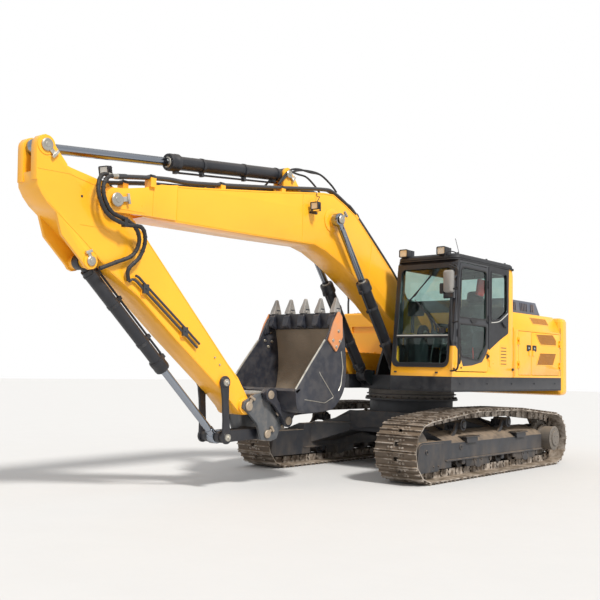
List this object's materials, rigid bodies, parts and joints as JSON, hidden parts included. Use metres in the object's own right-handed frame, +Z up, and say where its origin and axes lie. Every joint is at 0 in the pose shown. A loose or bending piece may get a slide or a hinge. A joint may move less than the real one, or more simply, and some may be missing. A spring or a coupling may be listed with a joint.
{
  "type": "crawler excavator",
  "caption": "Crawler excavator parked with its boom raised and its bucket curled in: slewing body with cab and engine housing, boom, arm, quick coupler and toothed bucket.",
  "frame": {"origin": "middle of the machine's outline on the ground, standing as it parks", "axes": "+X to the machine's left, +Y to its rear, +Z up"},
  "size_m": [2.98, 9.5992, 3.915],
  "materials": {
    "yellow": "satin machine paint, dusty low down",
    "frame_black": "satin black paint",
    "slate": "matt slate paint",
    "track_steel": "worn steel with dry mud",
    "bucket_steel": "dark paint, worn and dusty",
    "coupler_grey": "dark grey paint",
    "chrome": "hard chrome",
    "glass": "green-tinted safety glass",
    "seat_fabric": "black woven seat cloth and moulded plastic",
    "cast_iron": "bare cast iron"
  },
  "bodies": {
    "undercarriage": {"center_frame": "frame_black", "slew_ring": "cast_iron", "left_track": "track_steel", "right_track": "track_steel", "left_track_frame": "frame_black", "right_track_frame": "frame_black", "left_idler": "cast_iron", "right_idler": "cast_iron", "left_sprocket": "cast_iron", "right_sprocket": "cast_iron"},
    "upperstructure": {"main_frame": "frame_black", "cab_shell": "yellow", "windshield_lower": "glass", "windshield_upper": "glass", "rear_window": "glass", "right_window": "glass", "left_rear_window": "glass", "operator_seat": "seat_fabric", "engine_housing": "yellow", "engine_block": "cast_iron", "fuel_tank": "yellow", "hydraulic_tank": "yellow", "tool_box": "yellow", "counterweight": "yellow"},
    "cab_door": {"cab_door": "yellow", "cab_door_glass": "glass"},
    "left_front_side_door": {"left_front_side_door": "yellow"},
    "left_rear_side_door": {"left_rear_side_door": "yellow"},
    "right_side_door": {"right_side_door": "yellow"},
    "engine_hood": {"engine_hood": "slate"},
    "tool_box_lid": {"tool_box_lid": "yellow"},
    "boom": {"boom": "yellow"},
    "arm": {"arm": "yellow"},
    "bucket": {"quick_coupler": "coupler_grey", "bucket": "bucket_steel"},
    "rocker_links": {"rocker_links": "frame_black"},
    "bucket_link": {"bucket_link": "frame_black"},
    "left_boom_cylinder_barrel": {"left_boom_cylinder_barrel": "frame_black"},
    "left_boom_cylinder_rod": {"left_boom_cylinder_rod": "chrome"},
    "right_boom_cylinder_barrel": {"right_boom_cylinder_barrel": "frame_black"},
    "right_boom_cylinder_rod": {"right_boom_cylinder_rod": "chrome"},
    "arm_cylinder_barrel": {"arm_cylinder_barrel": "frame_black"},
    "arm_cylinder_rod": {"arm_cylinder_rod": "chrome"},
    "bucket_cylinder_barrel": {"bucket_cylinder_barrel": "frame_black"},
    "bucket_cylinder_rod": {"bucket_cylinder_rod": "chrome"}
  },
  "joints": [
    {"name": "swing", "type": "hinge", "parent": "undercarriage", "child": "upperstructure", "pos_m": [0, 1.86961, 1.12], "axis": [0, 0, 1], "continuous": true},
    {"name": "cab_door_hinge", "type": "hinge", "parent": "upperstructure", "child": "cab_door", "pos_m": [1.386, 1.68261, 1.4], "axis": [0, 0, 1], "range_deg": [0, 165]},
    {"name": "left_front_side_door_hinge", "type": "hinge", "parent": "upperstructure", "child": "left_front_side_door", "pos_m": [1.386, 2.63661, 1.37], "axis": [0, 0, -1], "range_deg": [0, 80]},
    {"name": "left_rear_side_door_hinge", "type": "hinge", "parent": "upperstructure", "child": "left_rear_side_door", "pos_m": [1.386, 4.09261, 1.37], "axis": [0, 0, 1], "range_deg": [0, 100]},
    {"name": "right_side_door_hinge", "type": "hinge", "parent": "upperstructure", "child": "right_side_door", "pos_m": [-1.376, 3.23661, 1.37], "axis": [0, 0, 1], "range_deg": [0, 100]},
    {"name": "engine_hood_hinge", "type": "hinge", "parent": "upperstructure", "child": "engine_hood", "pos_m": [0, 3.82461, 2.326], "axis": [-1, 0, 0], "range_deg": [0, 60]},
    {"name": "tool_box_lid_hinge", "type": "hinge", "parent": "upperstructure", "child": "tool_box_lid", "pos_m": [0, 1.89961, 1.666], "axis": [-1, 0, 0], "range_deg": [0, 80]},
    {"name": "boom_lift", "type": "hinge", "parent": "upperstructure", "child": "boom", "pos_m": [0, 1.76961, 1.93], "axis": [-1, 0, 0], "range_deg": [-50, 38]},
    {"name": "arm_swing", "type": "hinge", "parent": "boom", "child": "arm", "pos_m": [0, -3.94039, 3.03], "axis": [1, 0, 0], "range_deg": [-116, 4]},
    {"name": "bucket_curl", "type": "hinge", "parent": "arm", "child": "bucket", "pos_m": [0, -1.93539, 0.95], "axis": [1, 0, 0], "range_deg": [-138, 4]},
    {"name": "rocker_turn", "type": "hinge", "parent": "arm", "child": "rocker_links", "pos_m": [0, -2.28539, 1.221], "axis": [1, 0, 0], "range_deg": [-104, 4]},
    {"name": "bucket_link_turn", "type": "hinge", "parent": "bucket", "child": "bucket_link", "pos_m": [0, -1.60739, 0.618], "axis": [1, 0, 0], "range_deg": [-4, 97]},
    {"name": "left_boom_cylinder_turn", "type": "hinge", "parent": "upperstructure", "child": "left_boom_cylinder_barrel", "pos_m": [0.31, 1.05961, 1.32], "axis": [-1, 0, 0], "range_deg": [-51, 39]},
    {"name": "left_boom_cylinder_stroke", "type": "slide", "parent": "left_boom_cylinder_barrel", "child": "left_boom_cylinder_rod", "axis": [0, -0.5884, 0.8086], "range_m": [-0.745, 0.57]},
    {"name": "right_boom_cylinder_turn", "type": "hinge", "parent": "upperstructure", "child": "right_boom_cylinder_barrel", "pos_m": [-0.31, 1.05961, 1.32], "axis": [-1, 0, 0], "range_deg": [-51, 39]},
    {"name": "right_boom_cylinder_stroke", "type": "slide", "parent": "right_boom_cylinder_barrel", "child": "right_boom_cylinder_rod", "axis": [0, -0.5884, 0.8086], "range_m": [-0.745, 0.57]},
    {"name": "arm_cylinder_turn", "type": "hinge", "parent": "boom", "child": "arm_cylinder_barrel", "pos_m": [0, -1.16039, 3.83], "axis": [1, 0, 0], "range_deg": [-6, 1]},
    {"name": "arm_cylinder_stroke", "type": "slide", "parent": "arm_cylinder_barrel", "child": "arm_cylinder_rod", "axis": [0, -0.994, -0.1095], "range_m": [-1.47, 0.06]},
    {"name": "bucket_cylinder_turn", "type": "hinge", "parent": "arm", "child": "bucket_cylinder_barrel", "pos_m": [0, -4.15039, 2.4], "axis": [1, 0, 0], "range_deg": [-3.5, 0.5]},
    {"name": "bucket_cylinder_stroke", "type": "slide", "parent": "bucket_cylinder_barrel", "child": "bucket_cylinder_rod", "axis": [0, 0.7283, -0.6852], "range_m": [-0.98, 0.035]}
  ],
  "couplings": [
    {"joint": "left_boom_cylinder_turn", "follows": "boom_lift", "ratio": 1.0088},
    {"joint": "left_boom_cylinder_stroke", "follows": "boom_lift", "m_per_rad": 0.8452},
    {"joint": "right_boom_cylinder_turn", "follows": "boom_lift", "ratio": 1.0088},
    {"joint": "right_boom_cylinder_stroke", "follows": "boom_lift", "m_per_rad": 0.8452},
    {"joint": "arm_cylinder_turn", "follows": "arm_swing", "ratio": 0.0444},
    {"joint": "arm_cylinder_stroke", "follows": "arm_swing", "m_per_rad": 0.7236},
    {"joint": "bucket_cylinder_turn", "follows": "bucket_curl", "ratio": 0.0203},
    {"joint": "bucket_cylinder_stroke", "follows": "bucket_curl", "m_per_rad": 0.4048},
    {"joint": "rocker_turn", "follows": "bucket_curl", "ratio": 0.7492},
    {"joint": "bucket_link_turn", "follows": "bucket_curl", "ratio": -0.6942}
  ]
}
